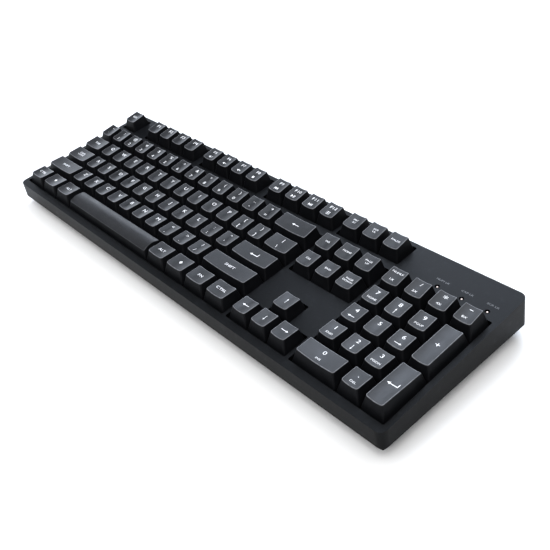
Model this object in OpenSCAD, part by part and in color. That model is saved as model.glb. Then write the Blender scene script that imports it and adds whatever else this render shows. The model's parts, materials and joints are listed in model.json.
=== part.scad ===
// Full-size mechanical keyboard with separate keycaps, switches, plate and two-part case.
// Model frame: millimetres, +X right, +Y towards the rear, +Z up.
// The origin is on the table, under the middle of the case.

/* [Case] */
// Width of the case at its widest line
case_w = 438; // [437:0.5:444]
// Depth of the case at its widest line
case_d = 133.8; // [133.8:0.2:138]
// Radius of the upright case corners
corner_r = 5.5; // [4:0.5:8]
// Slope of the top face, the plate and the board
tilt = 3.36; // [3:0.02:3.6]
// Height of the line where the two case halves meet
edge_z = 8.6; // [8.6:0.1:10]
// Thickness of the upper case walls
wall_t = 2.2; // [2:0.1:2.4]
// Thickness of the upper case's top panel
top_t = 2.4; // [2:0.1:3]
// Distance from the plate's top to the case's top face
rim_over_plate = 8.9; // [8.5:0.1:9.4]
// Gap between a key cell and the well around it, sideways
well_gap_x = 0.8; // [0.6:0.05:0.9]
// Gap between a key cell and the well around it, front and rear
well_gap_y = 0.7; // [0.5:0.05:0.9]
// Corner radius of the wells
well_r = 1; // [0.6:0.1:1.5]
// Radius of the holes over the indicator lights
light_hole_r = 1.7; // [1.65:0.05:2]

/* [Keys] */
// Distance from one key to the next
pitch = 19.05; // [19.05:0.01:19.1]
// Extra gap between the number row and the function row
function_gap = 8.6; // [8.5:0.02:8.8]
// Total gap between two neighbouring caps
cap_gap = 0.85; // [0.8:0.05:1.2]
// Depth of a cap's top face, front to rear
cap_top_d = 12.9; // [12.5:0.1:13.4]
// How much narrower a cap's top is than its foot
cap_taper = 5.7; // [5:0.1:6]
// How far a cap's top sits to the rear of its foot
cap_lean = 1.2; // [0.8:0.1:1.4]
// Depth of the hollow in a cap's top face
dish_depth = 0.8; // [0.5:0.1:1]
// Thickness of a cap's skirt
cap_wall = 1.4; // [1.2:0.1:1.5]
// Thickness of a cap's top
cap_roof = 1.5; // [1.3:0.1:1.7]
// Cap height in the space-bar row
cap_h_bottom = 9.2; // [9:0.1:9.6]
// Cap height in the shift row
cap_h_shift = 9.1; // [8.9:0.1:9.6]
// Cap height in the home row
cap_h_home = 8.6; // [8.6:0.1:9.2]
// Cap height in the tab row
cap_h_tab = 9.1; // [8.9:0.1:9.6]
// Cap height in the number row
cap_h_number = 10.9; // [10.4:0.1:11.4]
// Cap height in the function row
cap_h_function = 10.7; // [10.2:0.1:11.4]
// Rearward rise of the caps in the space-bar and shift rows, in degrees
cap_tilt_front = -3.3; // [-4:0.1:0]
// Rearward rise of the caps in the tab row, in degrees
cap_tilt_tab = 2.5; // [0:0.1:4]
// Rearward rise of the caps in the number and function rows, in degrees
cap_tilt_rear = 6.5; // [4:0.1:7]

/* [Switches] */
// Height of a cap's lower edge over the plate at rest
cap_rest = 6.1; // [6.1:0.05:6.4]
// Side of the square plate cutout
cutout = 14; // [14:0.01:14.1]
// Thickness of the switch plate
plate_t = 1.5; // [1.4:0.1:1.6]
// Distance from the plate's top to the circuit board's top
board_drop = 5; // [5:0.05:5.2]
// Thickness of the circuit board
board_t = 1.6; // [1.5:0.1:1.6]

/* [Feet] */
// Height of the rubber feet
foot_h = 2; // [2:0.1:2.2]
// Length of a tilt foot from its hinge to its tip pad
tilt_foot_len = 17; // [15:0.5:17]
// Width of a tilt foot
tilt_foot_w = 30; // [26:1:34]
// Distance of the tilt feet from the middle of the case
tilt_foot_x = 150; // [130:1:150]

/* [Hidden] */
cap_colour = "#26282c";
screw_colour = "#8d9299";
foot_colour = "#1c1d20";
rubber_colour = "#101112";
$fn = 48;
dish_facets = 1080;
crown_facets = 96;
eps = 0.02;
field_w = 22.5 * pitch;
field_front = -59.57;
plate_z = edge_z + 4.27;
half_w = case_w / 2;
half_d = case_d / 2;

// rows count from the space-bar row, 0, to the function row, 5
cap_h = [cap_h_bottom, cap_h_shift, cap_h_home, cap_h_tab, cap_h_number, cap_h_function];
cap_tilt = [cap_tilt_front, cap_tilt_front, 0, cap_tilt_tab, cap_tilt_rear, cap_tilt_rear];
function row_front(row) = row == 5 ? 5 * pitch + function_gap : row * pitch;
f_row_y = row_front(5) + pitch / 2;

// a key is [left edge in key units, row, width in key units, depth in key units]
function before(widths, i) = i == 0 ? 0 : widths[i - 1] + before(widths, i - 1);
function run(left, row, widths) = [
    for (i = [0:len(widths) - 1]) [left + before(widths, i), row, widths[i], 1]
];
function ones(count) = [for (i = [1:count]) 1];
function key_x(k) = (k[0] + k[2] / 2) * pitch;
function key_y(k) = row_front(k[1]) + k[3] * pitch / 2;
function is_wide(k) = k[2] >= 2 || k[3] >= 2;
function is_space_bar(k) = k[2] > 6;
function stab_reach(k) = is_space_bar(k) ? 50 : 11.94;
function stab_turn(k) = k[3] >= 2 ? 90 : 0;

k_esc = run(0, 5, [1]);
k_f1_f4 = run(2, 5, ones(4));
k_f5_f8 = run(6.5, 5, ones(4));
k_f9_f12 = run(11, 5, ones(4));
k_system = run(15.25, 5, ones(3));
k_number_left = run(0, 4, ones(6));
k_number_right = run(6, 4, ones(7));
k_backspace = run(13, 4, [2]);
k_tab = run(0, 3, [1.5]);
k_letters_q_t = run(1.5, 3, ones(5));
k_letters_y_p = run(6.5, 3, ones(7));
k_backslash = run(13.5, 3, [1.5]);
k_caps_lock = run(0, 2, [1.75]);
k_letters_a_g = run(1.75, 2, ones(5));
k_letters_h_l = run(6.75, 2, ones(6));
k_enter = run(12.75, 2, [2.25]);
k_left_shift = run(0, 1, [2.25]);
k_letters_z_b = run(2.25, 1, ones(5));
k_letters_n_m = run(7.25, 1, ones(5));
k_right_shift = run(12.25, 1, [2.75]);
k_left_ctrl = run(0, 0, [1.25]);
k_left_system = run(1.25, 0, [1.25]);
k_left_alt = run(2.5, 0, [1.25]);
k_space = run(3.75, 0, [6.25]);
k_right_alt = run(10, 0, [1.25]);
k_right_system = run(11.25, 0, [1.25]);
k_fn = run(12.5, 0, [1.25]);
k_right_ctrl = run(13.75, 0, [1.25]);
k_navigation = concat(run(15.25, 4, ones(3)), run(15.25, 3, ones(3)));
k_arrow_up = run(16.25, 1, [1]);
k_arrow_left = run(15.25, 0, [1]);
k_arrow_down = run(16.25, 0, [1]);
k_arrow_right = run(17.25, 0, [1]);
k_pad_operators = run(18.5, 4, ones(4));
k_pad_7_9 = run(18.5, 3, ones(3));
k_pad_4_6 = run(18.5, 2, ones(3));
k_pad_1_3 = run(18.5, 1, ones(3));
k_pad_zero = run(18.5, 0, [2]);
k_pad_point = run(20.5, 0, [1]);
k_pad_plus = [[21.5, 2, 1, 2]];
k_pad_enter = [[21.5, 0, 1, 2]];

all_keys = concat(
    k_esc, k_f1_f4, k_f5_f8, k_f9_f12, k_system, k_number_left, k_number_right, k_backspace,
    k_tab, k_letters_q_t, k_letters_y_p, k_backslash, k_caps_lock, k_letters_a_g, k_letters_h_l,
    k_enter, k_left_shift, k_letters_z_b, k_letters_n_m, k_right_shift, k_left_ctrl,
    k_left_system, k_left_alt, k_space, k_right_alt, k_right_system, k_fn, k_right_ctrl,
    k_navigation, k_arrow_up, k_arrow_left, k_arrow_down, k_arrow_right, k_pad_operators,
    k_pad_7_9, k_pad_4_6, k_pad_1_3, k_pad_zero, k_pad_point, k_pad_plus, k_pad_enter
);
wide_keys = [for (k = all_keys) if (is_wide(k)) k];

// wells are [left, right, front, rear] in plate millimetres
function well(left, right, front, rear) = [
    left * pitch - well_gap_x, right * pitch + well_gap_x, front - well_gap_y, rear + well_gap_y
];
f_front = row_front(5);
f_rear = row_front(5) + pitch;
wells = [
    well(0, 1, f_front, f_rear),
    well(2, 6, f_front, f_rear),
    well(6.5, 10.5, f_front, f_rear),
    well(11, 15, f_front, f_rear),
    well(15.25, 18.25, f_front, f_rear),
    well(0, 15, 0, 5 * pitch),
    well(15.25, 18.25, 3 * pitch, 5 * pitch),
    well(15.25, 18.25, 0, pitch),
    well(16.25, 17.25, 0, 2 * pitch),
    well(18.5, 22.5, 0, 5 * pitch)
];

// case posts are [x, y, top] in plate millimetres; the ones between two wells stay low
post_low = 3.2;
post_high = rim_over_plate - top_t + 0.5;
case_posts = [
    [1.5 * pitch, f_row_y, post_high],
    [6.25 * pitch, f_row_y, post_high],
    [10.75 * pitch, f_row_y, post_high],
    [15.125 * pitch, f_row_y, post_low],
    [20.5 * pitch, f_row_y, post_high],
    [15.125 * pitch, 2.5 * pitch, post_low],
    [18.375 * pitch, 2.5 * pitch, post_low],
    [15.125 * pitch, 0.5 * pitch, post_low],
    [18.375 * pitch, 0.5 * pitch, post_low]
];
post_r = 2.3;
post_foot = -7.4;
case_screw_r = 1.2;
plate_screw_r = 0.9;
plate_screw_spots = concat(
    [for (x = [3, 8, 12.5, 20.5], y = [2, 4]) [x * pitch, y * pitch]],
    [[1.5 * pitch, 5 * pitch + function_gap / 2], [20 * pitch, 5 * pitch + 17]]
);
light_x = [383.2, 402.3, 421.4];
light_y = 101.7;

// underside and undercut of the lower case
floor_z = foot_h;
floor_t = 2;
undercut = edge_z - floor_z;
shell_t = 4;
lip_h = 2;
lip_t = 1.2;
lip_gap = 0.15;

// tilt foot hinge
hinge_y = 50;
hinge_z = floor_z + 2.6;
hinge_r = 2.3;
axle_r = 1.2;
axle_play = 0.05;
pocket_side = 0.5;
pocket_rear = hinge_y + 2.8;
pocket_front = hinge_y - tilt_foot_len - 2;
pocket_top = hinge_z + hinge_r + 0.5;
pad_t = 1.2;
blade_low = -2;
blade_high = 0.8;
grip_side = 4;
grip_front = 3;
grip_rear = 4.5;
grip_depth = 1.2;

// cable socket, under the board's rear edge
socket_w = 9;
socket_h = 3.2;
socket_x = field_w / 2;
socket_front = 116.5;
socket_rear = 124.3;
socket_wall = 0.4;
tongue_w = 6.4;
tongue_t = 0.7;

// ---------- shared helpers ----------

// puts plate coordinates (x from the field's left edge, y from its front edge) into the model
module on_plate() {
    translate([-field_w / 2, field_front, plate_z]) rotate([tilt, 0, 0]) children();
}

module rounded_rect(w, d, r) {
    union() {
        square([w - 2 * r, d], center = true);
        square([w, d - 2 * r], center = true);
        for (x = [-1, 1], y = [-1, 1]) translate([x * (w / 2 - r), y * (d / 2 - r)]) circle(r);
    }
}

module block(x0, x1, y0, y1, z0, z1) {
    translate([x0, y0, z0]) cube([x1 - x0, y1 - y0, z1 - z0]);
}

module centred_block(w, d, z0, z1) {
    translate([-w / 2, -d / 2, z0]) cube([w, d, z1 - z0]);
}

module rod(r, z0, z1) {
    translate([0, 0, z0]) cylinder(r = r, h = z1 - z0);
}

// a side view, [y, z] points, drawn across the width w
module across_x(w, points) {
    rotate([90, 0, 90]) linear_extrude(height = w, center = true) polygon(points);
}

// a front view, [x, z] points, drawn across the depth d
module across_y(d, points) {
    rotate([90, 0, 0]) linear_extrude(height = d, center = true) polygon(points);
}

module at_keys(keys) {
    for (k = keys) translate([key_x(k), key_y(k), 0]) children();
}

// ---------- keys ----------

// a plus-shaped block
module stem_cross(size, thick, z0, z1) {
    centred_block(size, thick, z0, z1);
    centred_block(thick, size, z0, z1);
}

// outer body of a cap with its foot at z = 0
module cap_body(w, d, h, rise, top_w, top_d) {
    front_y = cap_lean - top_d / 2;
    rear_y = cap_lean + top_d / 2;
    drop = top_d / 2 * tan(rise);
    peak = h + dish_depth + abs(drop);
    intersection() {
        across_x(w + 1, [
            [-d / 2, 0], [d / 2, 0], [rear_y, h + dish_depth + drop], [front_y, h + dish_depth - drop]
        ]);
        across_y(d + 1, [[-w / 2, 0], [w / 2, 0], [top_w / 2, peak], [-top_w / 2, peak]]);
    }
}

// hollow under a cap
module cap_hollow(w, d, h, rise, top_w, top_d) {
    front_y = cap_lean - top_d / 2 + cap_wall;
    rear_y = cap_lean + top_d / 2 - cap_wall;
    drop = top_d / 2 * tan(rise);
    roof = h - cap_roof;
    peak = roof + abs(drop);
    intersection() {
        across_x(w, [
            [-d / 2 + cap_wall, -eps], [d / 2 - cap_wall, -eps], [rear_y, roof + drop], [front_y, roof - drop]
        ]);
        across_y(d, [
            [-w / 2 + cap_wall, -eps], [w / 2 - cap_wall, -eps],
            [top_w / 2 - cap_wall, peak], [-top_w / 2 + cap_wall, peak]
        ]);
    }
}

// cylindrical finger hollow, just touching the cap's middle at height h
module cap_dish(h, rise, top_w, top_d) {
    dish_r = (top_w * top_w / 4 + dish_depth * dish_depth) / (2 * dish_depth);
    translate([0, cap_lean, h]) rotate([rise, 0, 0]) translate([0, 0, dish_r]) rotate([90, 0, 0])
        cylinder(r = dish_r, h = top_d + 8, center = true, $fn = dish_facets);
}

// rounded crown of the space bar
crown_r = 15;

module cap_crown(w, h) {
    translate([0, cap_lean, h - crown_r]) rotate([0, 90, 0])
        cylinder(r = crown_r, h = w + 2, center = true, $fn = crown_facets);
}

// round mounts under a cap, each with a cross-shaped socket
mount_r = 2.7;
mount_low = 0.45;
cross_size = 4;
cross_t = 1.2;
cross_play = 0.1;
cross_depth = 4.3;

module cap_mounts(k, h) {
    spots = is_wide(k) ? [-stab_reach(k), 0, stab_reach(k)] : [0];
    rotate([0, 0, stab_turn(k)]) for (x = spots) translate([x, 0, 0]) difference() {
        rod(mount_r, mount_low, h - cap_roof + 0.6);
        stem_cross(cross_size + cross_play, cross_t + cross_play, 0, cross_depth);
    }
}

module keycap(k) {
    w = k[2] * pitch - cap_gap;
    d = k[3] * pitch - cap_gap;
    top_w = w - cap_taper;
    top_d = d - (pitch - cap_gap - cap_top_d);
    h = cap_h[k[1]];
    rise = cap_tilt[k[1]];
    difference() {
        if (is_space_bar(k)) intersection() {
            cap_body(w, d, h, rise, top_w, top_d);
            cap_crown(w, h);
        }
        else difference() {
            cap_body(w, d, h, rise, top_w, top_d);
            cap_dish(h, rise, top_w, top_d);
        }
        cap_hollow(w, d, h, rise, top_w, top_d);
    }
    cap_mounts(k, h);
}

slider_w = 7;
slider_d = 5.5;
slider_low = 0.3;
slider_shoulder = 6.5;
slider_tip = 10.1;
stab_slider_w = 4;
stab_slider_low = -0.2;

module slider(w, low) {
    centred_block(w, slider_d, low, slider_shoulder);
    stem_cross(cross_size, cross_t, slider_shoulder - eps, slider_tip);
}

// caps and the sliders that move with them
module key_bank(keys) {
    on_plate() for (k = keys) translate([key_x(k), key_y(k), 0]) {
        translate([0, 0, cap_rest]) keycap(k);
        slider(slider_w, slider_low);
        if (is_wide(k)) rotate([0, 0, stab_turn(k)]) for (x = [-1, 1])
            translate([x * stab_reach(k), 0, 0]) slider(stab_slider_w, stab_slider_low);
    }
}

module esc_key() color(cap_colour) key_bank(k_esc);
module f1_f4_keys() color(cap_colour) key_bank(k_f1_f4);
module f5_f8_keys() color(cap_colour) key_bank(k_f5_f8);
module f9_f12_keys() color(cap_colour) key_bank(k_f9_f12);
module system_keys() color(cap_colour) key_bank(k_system);
module number_keys_left() color(cap_colour) key_bank(k_number_left);
module number_keys_right() color(cap_colour) key_bank(k_number_right);
module backspace_key() color(cap_colour) key_bank(k_backspace);
module tab_key() color(cap_colour) key_bank(k_tab);
module letter_keys_q_t() color(cap_colour) key_bank(k_letters_q_t);
module letter_keys_y_p() color(cap_colour) key_bank(k_letters_y_p);
module backslash_key() color(cap_colour) key_bank(k_backslash);
module caps_lock_key() color(cap_colour) key_bank(k_caps_lock);
module letter_keys_a_g() color(cap_colour) key_bank(k_letters_a_g);
module letter_keys_h_l() color(cap_colour) key_bank(k_letters_h_l);
module enter_key() color(cap_colour) key_bank(k_enter);
module left_shift_key() color(cap_colour) key_bank(k_left_shift);
module letter_keys_z_b() color(cap_colour) key_bank(k_letters_z_b);
module letter_keys_n_m() color(cap_colour) key_bank(k_letters_n_m);
module right_shift_key() color(cap_colour) key_bank(k_right_shift);
module left_ctrl_key() color(cap_colour) key_bank(k_left_ctrl);
module left_system_key() color(cap_colour) key_bank(k_left_system);
module left_alt_key() color(cap_colour) key_bank(k_left_alt);
module space_bar() color(cap_colour) key_bank(k_space);
module right_alt_key() color(cap_colour) key_bank(k_right_alt);
module right_system_key() color(cap_colour) key_bank(k_right_system);
module fn_key() color(cap_colour) key_bank(k_fn);
module right_ctrl_key() color(cap_colour) key_bank(k_right_ctrl);
module navigation_keys() color(cap_colour) key_bank(k_navigation);
module arrow_up_key() color(cap_colour) key_bank(k_arrow_up);
module arrow_left_key() color(cap_colour) key_bank(k_arrow_left);
module arrow_down_key() color(cap_colour) key_bank(k_arrow_down);
module arrow_right_key() color(cap_colour) key_bank(k_arrow_right);
module pad_operator_keys() color(cap_colour) key_bank(k_pad_operators);
module pad_7_9_keys() color(cap_colour) key_bank(k_pad_7_9);
module pad_4_6_keys() color(cap_colour) key_bank(k_pad_4_6);
module pad_1_3_keys() color(cap_colour) key_bank(k_pad_1_3);
module pad_zero_key() color(cap_colour) key_bank(k_pad_zero);
module pad_point_key() color(cap_colour) key_bank(k_pad_point);
module pad_plus_key() color(cap_colour) key_bank(k_pad_plus);
module pad_enter_key() color(cap_colour) key_bank(k_pad_enter);

// ---------- switches ----------

flange_w = 15.6;
flange_t = 1;
switch_bore = 12;
switch_pin_r = 1.95;
switch_pin_len = 3.2;
cover_foot = 7;
cover_top_x = 5.7;
cover_top_y = 4.9;
cover_wall = 1;
cover_top = 6.6;
window_w = 7.4;
window_d = 6.2;
spring_floor = -board_drop + 1;
spring_r = 2.2;
spring_t = 0.5;

module switch_bases() color("#17181a") on_plate() at_keys(all_keys) {
    difference() {
        union() {
            centred_block(cutout - 0.1, cutout - 0.1, -board_drop, flange_t);
            centred_block(flange_w, flange_w, 0, flange_t);
        }
        centred_block(switch_bore, switch_bore, spring_floor, flange_t + eps);
    }
    rod(switch_pin_r, -board_drop - switch_pin_len, -board_drop + 0.5);
}

// a four-sided block that narrows upwards; foot, top_x and top_y are half widths
module tapered_block(foot, top_x, top_y, z0, z1) {
    intersection() {
        across_x(2 * foot + 2, [[-foot, z0], [foot, z0], [top_y, z1], [-top_y, z1]]);
        across_y(2 * foot + 2, [[-foot, z0], [foot, z0], [top_x, z1], [-top_x, z1]]);
    }
}

module switch_covers() color("#1d1e21") on_plate() at_keys(all_keys) difference() {
    tapered_block(cover_foot, cover_top_x, cover_top_y, flange_t, cover_top);
    tapered_block(
        cover_foot - cover_wall, cover_top_x - 0.8, cover_top_y - 0.7, flange_t - eps, cover_top - cover_wall
    );
    centred_block(window_w, window_d, cover_top - 2, cover_top + 1);
}

// each coil is drawn as a thin sleeve of the coil's size
module switch_springs() color("#b8bcc2") on_plate() at_keys(all_keys) difference() {
    rod(spring_r, spring_floor, slider_low);
    rod(spring_r - spring_t, spring_floor - 1, slider_low + 1);
}

// ---------- stabilizers ----------

stab_w = 6.4;
stab_d = 10.4;
stab_top = 2.2;
stab_low = -4.6;
stab_bore_w = 4.6;
stab_bore_d = 6.3;
wire_r = 0.75;
wire_y = -8.75;
wire_z = 1.15;
wire_arm = 5.2;

// children twice per wide key, in plate coordinates turned along the key
module at_stabilizers() {
    for (k = wide_keys) translate([key_x(k), key_y(k), 0]) rotate([0, 0, stab_turn(k)])
        for (x = [-1, 1]) translate([x * stab_reach(k), 0, 0]) children();
}

module stabilizer_housings() color("#1b1c1f") on_plate() at_stabilizers() difference() {
    union() {
        centred_block(stab_w, stab_d, stab_low, stab_top);
        centred_block(stab_w + 0.8, stab_d + 1.2, 0, 0.8);
    }
    centred_block(stab_bore_w, stab_bore_d, stab_low + 0.2, stab_top + 1);
    block(-wire_r - 0.35, wire_r + 0.35, -stab_d, 0, 0.2, stab_top + 1);
}

module stabilizer_wires() color("#c3c7cc") on_plate()
    for (k = wide_keys) translate([key_x(k), key_y(k), 0]) rotate([0, 0, stab_turn(k)]) {
        reach = stab_reach(k);
        translate([0, wire_y, wire_z]) {
            rotate([0, 90, 0]) cylinder(r = wire_r, h = 2 * reach, center = true);
            for (x = [-1, 1]) translate([x * reach, 0, 0]) {
                sphere(wire_r);
                rotate([-90, 0, 0]) cylinder(r = wire_r, h = wire_arm);
            }
        }
    }

// ---------- plate and board ----------

plate_left = -2;
plate_front = -2.6;
plate_rear = 122.6;
board_left = 2.2;
board_front = -0.6;

module at_spots(spots) {
    for (s = spots) translate([s[0], s[1], 0]) children();
}

module at_lights() {
    for (x = light_x) translate([x, light_y, 0]) children();
}

module switch_plate() color("#5a1216") on_plate() difference() {
    block(plate_left, field_w - plate_left, plate_front, plate_rear, -plate_t, 0);
    at_keys(all_keys) centred_block(cutout, cutout, -plate_t - 1, 1);
    at_stabilizers() centred_block(stab_w + 0.2, stab_d + 0.4, -plate_t - 1, 1);
    at_spots(case_posts) rod(post_r + 0.3, -plate_t - 1, 1);
    at_spots(plate_screw_spots) rod(plate_screw_r + 0.2, -plate_t - 1, 1);
    at_lights() rod(2.4, -plate_t - 1, 1);
}

module circuit_board() color("#14301f") on_plate() difference() {
    block(board_left, field_w - board_left, board_front, plate_rear, -board_drop - board_t, -board_drop);
    at_keys(all_keys) rod(2.1, -board_drop - board_t - 1, -board_drop + 1);
    at_spots(case_posts) rod(post_r + 0.4, -board_drop - board_t - 1, -board_drop + 1);
    at_spots(plate_screw_spots) rod(2.4, -board_drop - board_t - 1, -board_drop + 1);
}

chip_w = 12;
chip_t = 1.4;
lead_count = 8;
lead_pitch = 1.2;
lead_w = 0.4;
lead_len = 1.2;
lead_t = 0.5;

module controller_chip() color("#0e0f10") on_plate()
    translate([16.75 * pitch, 2.5 * pitch, -board_drop - board_t]) {
        centred_block(chip_w, chip_w, -chip_t, -0.1);
        for (side = [0:3]) rotate([0, 0, 90 * side]) for (i = [0:lead_count - 1])
            translate([(i - (lead_count - 1) / 2) * lead_pitch, chip_w / 2 + lead_w, 0])
                centred_block(lead_w, lead_len, -lead_t, 0);
    }

module usb_socket() color("#aeb2b8") on_plate()
    translate([socket_x, 0, -board_drop - board_t - socket_h]) difference() {
        block(-socket_w / 2, socket_w / 2, socket_front, socket_rear, 0, socket_h);
        difference() {
            block(
                -socket_w / 2 + socket_wall, socket_w / 2 - socket_wall,
                socket_front + 1.5, socket_rear + 1, socket_wall, socket_h - socket_wall
            );
            block(
                -tongue_w / 2, tongue_w / 2, socket_front, socket_rear - 1,
                (socket_h - tongue_t) / 2, (socket_h + tongue_t) / 2
            );
        }
    }

// an indicator light: legs, collar, body and a round top under its hole
light_r = 1;
light_low = 3;
light_high = 7.7;
leg_r = 0.3;

module indicator_lights() color("#e9dcd6") on_plate() at_lights() {
    rod(light_r, light_low, light_high);
    rod(light_r + 0.8, light_low - 0.8, light_low + 0.2);
    translate([0, 0, light_high]) sphere(light_r);
    for (side = [-1, 1]) translate([side * light_r, 0, 0]) rod(leg_r, -board_drop, light_low - 0.6);
}

// ---------- case ----------

// everything under a plane that lies level above (or below) the plate's top
module under_plane(level) {
    on_plate() block(-60, field_w + 60, -60, 200, -60, level);
}

module case_prism(inset, z0, z1) {
    translate([0, 0, z0]) linear_extrude(height = z1 - z0)
        rounded_rect(case_w - 2 * inset, case_d - 2 * inset, max(corner_r - inset, 1));
}

module well_cut(w, grow, z0, z1) {
    translate([(w[0] + w[1]) / 2, (w[2] + w[3]) / 2, z0]) linear_extrude(height = z1 - z0)
        rounded_rect(w[1] - w[0] + 2 * grow, w[3] - w[2] + 2 * grow, well_r + grow);
}

// collars run down from the well edges and stiffen the top panel
collar_t = 1.4;
collar_low = 1.2;
post_bore_r = 1.25;
socket_gap = 0.6;

module top_case() color("#2b2d31") difference() {
    union() {
        difference() {
            intersection() {
                case_prism(0, edge_z, edge_z + 40);
                under_plane(rim_over_plate);
            }
            intersection() {
                case_prism(wall_t, edge_z - 1, edge_z + 40);
                under_plane(rim_over_plate - top_t);
            }
        }
        intersection() {
            on_plate() for (w = wells) well_cut(w, collar_t, collar_low, rim_over_plate);
            case_prism(wall_t / 2, edge_z, edge_z + 40);
        }
        on_plate() for (p = case_posts) translate([p[0], p[1], 0]) rod(post_r, post_foot, p[2]);
    }
    on_plate() {
        for (w = wells) well_cut(w, 0, post_low, rim_over_plate + 5);
        for (w = wells) difference() {
            well_cut(w, 0, collar_low - 1, post_low + eps);
            at_spots(case_posts) rod(post_r, collar_low - 2, post_low + 1);
        }
        at_spots(case_posts) rod(post_bore_r, post_foot - 1, 1.5);
        at_lights() rod(light_hole_r, 0, rim_over_plate + 5);
        block(
            socket_x - socket_w / 2 - socket_gap, socket_x + socket_w / 2 + socket_gap, 120, 140,
            -board_drop - board_t - socket_h - socket_gap, -board_drop - board_t + socket_gap
        );
    }
}

// outer shell of the lower case: four sloping sides inside the upright outline
module undercut_body(inset, z0, z1) {
    low = undercut + inset - (z0 - floor_z);
    high = undercut + inset - (z1 - floor_z);
    intersection() {
        across_x(case_w + 10, [
            [-half_d + low, z0], [half_d - low, z0], [half_d - high, z1], [-half_d + high, z1]
        ]);
        across_y(case_d + 10, [
            [-half_w + low, z0], [half_w - low, z0], [half_w - high, z1], [-half_w + high, z1]
        ]);
        case_prism(inset, z0 - 1, z1 + 1);
    }
}

pocket_w = tilt_foot_w + 2 * pocket_side;
seat_r = 2.5;

module both_sides() {
    children();
    mirror([1, 0, 0]) children();
}

module pocket_box(grow, z0, z1) {
    block(
        tilt_foot_x - pocket_w / 2 - grow, tilt_foot_x + pocket_w / 2 + grow,
        pocket_front - grow, pocket_rear + grow, z0, z1
    );
}

module bottom_case() color("#212327") difference() {
    union() {
        difference() {
            undercut_body(0, floor_z, edge_z);
            undercut_body(shell_t, floor_z + floor_t, edge_z + eps);
        }
        difference() {
            case_prism(wall_t + lip_gap, edge_z - 0.5, edge_z + lip_h);
            case_prism(wall_t + lip_gap + lip_t, edge_z - 1, edge_z + lip_h + 1);
        }
        both_sides() pocket_box(2, floor_z, pocket_top + 1.4);
        intersection() {
            on_plate() {
                at_spots(case_posts) rod(3.4, -30, post_foot);
                at_spots(plate_screw_spots) rod(2, -30, -plate_t);
            }
            block(-half_w, half_w, -half_d, half_d, floor_z + 0.5, 40);
        }
    }
    both_sides() {
        pocket_box(0, floor_z - 1, pocket_top);
        translate([tilt_foot_x, hinge_y, hinge_z]) rotate([0, 90, 0])
            cylinder(r = axle_r + axle_play, h = pocket_w + 3.4, center = true);
    }
    on_plate() {
        at_spots(case_posts) rod(case_screw_r + 0.2, -40, 0);
        for (p = case_posts) translate([p[0], p[1], screw_seat(p)]) rod(seat_r, -20, 0);
        at_spots(plate_screw_spots) rod(plate_screw_r + 0.1, -plate_t - 5, 1);
    }
    block(-7, 7, half_d - 10, half_d, edge_z, edge_z + lip_h + 1);
}

// level of a case screw's head seat, 1.7 mm above the underside
function screw_seat(p) = (floor_z + 1.7 - plate_z - p[1] * sin(tilt)) / cos(tilt);

// ---------- fasteners and feet ----------

module case_screws() color(screw_colour) on_plate() for (p = case_posts)
    translate([p[0], p[1], 0]) {
        seat = screw_seat(p);
        difference() {
            union() {
                rod(case_screw_r + 1, seat - 1.3, seat);
                rod(case_screw_r, seat - 0.5, -2);
            }
            stem_cross(2.6, 0.6, seat - 2, seat - 0.7);
        }
    }

module plate_screws() color(screw_colour) on_plate() at_spots(plate_screw_spots) difference() {
    union() {
        rod(plate_screw_r + 0.7, 0, 1);
        rod(plate_screw_r, -plate_t - 4.5, 0.5);
    }
    stem_cross(2, 0.5, 0.5, 2);
}

// rubber feet are [x, y, width]
front_foot = [178, -49, 42];
rear_foot = [112, 44, 30];
foot_d = 9;
foot_r = 2;

module rubber_feet() color(rubber_colour) for (side = [-1, 1], f = [front_foot, rear_foot])
    translate([side * f[0], f[1], 0]) linear_extrude(height = foot_h) rounded_rect(f[2], foot_d, foot_r);

// a folded tilt foot, hinged at its rear end, on the right-hand side
module tilt_foot() {
    translate([tilt_foot_x, hinge_y, hinge_z]) {
        rotate([0, 90, 0]) {
            cylinder(r = hinge_r, h = tilt_foot_w, center = true);
            cylinder(r = axle_r, h = pocket_w + 3, center = true);
        }
        difference() {
            block(-tilt_foot_w / 2, tilt_foot_w / 2, -tilt_foot_len, 0, blade_low, blade_high);
            block(
                -tilt_foot_w / 2 + grip_side, tilt_foot_w / 2 - grip_side,
                -tilt_foot_len + grip_front, -grip_rear, blade_low - 1, blade_low + grip_depth
            );
        }
    }
}

module tilt_pad() {
    translate([tilt_foot_x, hinge_y, hinge_z]) block(
        -tilt_foot_w / 2 + 1, tilt_foot_w / 2 - 1,
        -tilt_foot_len - pad_t, -tilt_foot_len, blade_low, blade_high
    );
}

module tilt_foot_right() color(foot_colour) tilt_foot();
module tilt_foot_left() color(foot_colour) mirror([1, 0, 0]) tilt_foot();
module tilt_pad_right() color(rubber_colour) tilt_pad();
module tilt_pad_left() color(rubber_colour) mirror([1, 0, 0]) tilt_pad();

tilt_foot_left();
tilt_foot_right();
tilt_pad_left();
tilt_pad_right();
top_case();
bottom_case();
switch_plate();
circuit_board();
switch_bases();
switch_covers();
switch_springs();
stabilizer_housings();
stabilizer_wires();
controller_chip();
usb_socket();
indicator_lights();
case_screws();
plate_screws();
rubber_feet();
esc_key();
f1_f4_keys();
f5_f8_keys();
f9_f12_keys();
system_keys();
number_keys_left();
number_keys_right();
backspace_key();
tab_key();
letter_keys_q_t();
letter_keys_y_p();
backslash_key();
caps_lock_key();
letter_keys_a_g();
letter_keys_h_l();
enter_key();
left_shift_key();
letter_keys_z_b();
letter_keys_n_m();
right_shift_key();
left_ctrl_key();
left_system_key();
left_alt_key();
space_bar();
right_alt_key();
right_system_key();
fn_key();
right_ctrl_key();
navigation_keys();
arrow_up_key();
arrow_left_key();
arrow_down_key();
arrow_right_key();
pad_operator_keys();
pad_7_9_keys();
pad_4_6_keys();
pad_1_3_keys();
pad_zero_key();
pad_point_key();
pad_plus_key();
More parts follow.
